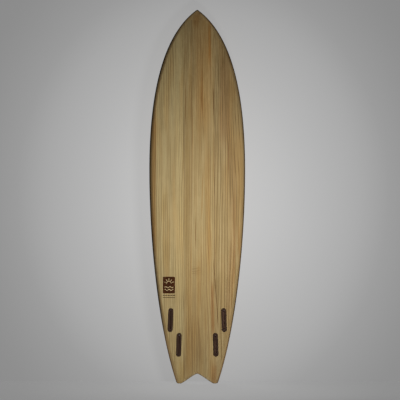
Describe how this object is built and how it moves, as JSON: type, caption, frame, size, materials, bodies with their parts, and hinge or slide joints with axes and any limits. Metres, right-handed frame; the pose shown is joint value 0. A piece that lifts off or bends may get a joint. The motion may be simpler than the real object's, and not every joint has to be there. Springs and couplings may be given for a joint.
{
  "type": "shortboard surfboard",
  "caption": "Swallow-tailed surfboard with a timber-skinned foam core, laminated timber rails, round-ended fin boxes with grub screws, and a leash plug in the deck.",
  "frame": {"origin": "at the tail, on the line between the two tail tips, midway across the width and midway between the flat of the bottom and the lifted nose", "axes": "+Z from the tail to the nose, -Y out of the bottom, +Y out of the deck, +X to the right when the bottom faces the viewer and the nose is up"},
  "size_m": [0.505, 0.13, 1.981],
  "materials": {
    "core_foam": "matte",
    "end_block_timber": "gloss",
    "rail_timber": "gloss",
    "bottom_skin_timber": "gloss",
    "deck_skin_timber": "gloss",
    "dense_foam": "matte",
    "fin_box_plastic": "satin",
    "leash_cup_plastic": "satin",
    "steel": "satin",
    "membrane": "matte",
    "badge_veneer": "gloss"
  },
  "bodies": {
    "board": {"foam_core": "core_foam", "nose_block": "end_block_timber", "tail_strip_left": "end_block_timber", "tail_strip_right": "end_block_timber", "rail_strip_left_inner": "rail_timber", "rail_strip_left_middle": "rail_timber", "rail_strip_left_outer": "rail_timber", "rail_strip_right_inner": "rail_timber", "rail_strip_right_middle": "rail_timber", "rail_strip_right_outer": "rail_timber", "bottom_plank_left": "bottom_skin_timber", "deck_plank_left": "deck_skin_timber", "bottom_plank_narrow": "bottom_skin_timber", "deck_plank_narrow": "deck_skin_timber", "bottom_plank_centre": "bottom_skin_timber", "deck_plank_centre": "deck_skin_timber", "bottom_plank_right": "bottom_skin_timber", "deck_plank_right": "deck_skin_timber", "fin_insert_left_front": "dense_foam", "fin_insert_left_rear": "dense_foam", "fin_insert_right_front": "dense_foam", "fin_insert_right_rear": "dense_foam", "fin_box_left_front": "fin_box_plastic", "fin_box_left_rear": "fin_box_plastic", "fin_box_right_front": "fin_box_plastic", "fin_box_right_rear": "fin_box_plastic", "leash_insert": "dense_foam", "leash_cup": "leash_cup_plastic", "leash_bar": "steel", "vent_plug": "leash_cup_plastic", "vent_membrane": "membrane", "badge": "badge_veneer"},
    "screw_left_front_nose": {"screw_left_front_nose": "steel"},
    "screw_left_front_tail": {"screw_left_front_tail": "steel"},
    "screw_left_rear_nose": {"screw_left_rear_nose": "steel"},
    "screw_left_rear_tail": {"screw_left_rear_tail": "steel"},
    "screw_right_front_nose": {"screw_right_front_nose": "steel"},
    "screw_right_front_tail": {"screw_right_front_tail": "steel"},
    "screw_right_rear_nose": {"screw_right_rear_nose": "steel"},
    "screw_right_rear_tail": {"screw_right_rear_tail": "steel"}
  },
  "joints": [
    {"name": "screw_left_front_nose_travel", "type": "slide", "parent": "board", "child": "screw_left_front_nose", "axis": [-0.0016, -0.9613, 0.2755], "range_m": [0, 0.003]},
    {"name": "screw_left_front_tail_travel", "type": "slide", "parent": "board", "child": "screw_left_front_tail", "axis": [-0.0254, -0.9133, -0.4064], "range_m": [0, 0.003]},
    {"name": "screw_left_rear_nose_travel", "type": "slide", "parent": "board", "child": "screw_left_rear_nose", "axis": [0.0114, -0.966, 0.2584], "range_m": [0, 0.003]},
    {"name": "screw_left_rear_tail_travel", "type": "slide", "parent": "board", "child": "screw_left_rear_tail", "axis": [-0.0125, -0.9062, -0.4226], "range_m": [0, 0.003]},
    {"name": "screw_right_front_nose_travel", "type": "slide", "parent": "board", "child": "screw_right_front_nose", "axis": [0.0016, -0.9613, 0.2755], "range_m": [0, 0.003]},
    {"name": "screw_right_front_tail_travel", "type": "slide", "parent": "board", "child": "screw_right_front_tail", "axis": [0.0254, -0.9133, -0.4064], "range_m": [0, 0.003]},
    {"name": "screw_right_rear_nose_travel", "type": "slide", "parent": "board", "child": "screw_right_rear_nose", "axis": [-0.0114, -0.966, 0.2584], "range_m": [0, 0.003]},
    {"name": "screw_right_rear_tail_travel", "type": "slide", "parent": "board", "child": "screw_right_rear_tail", "axis": [0.0125, -0.9062, -0.4226], "range_m": [0, 0.003]}
  ]
}
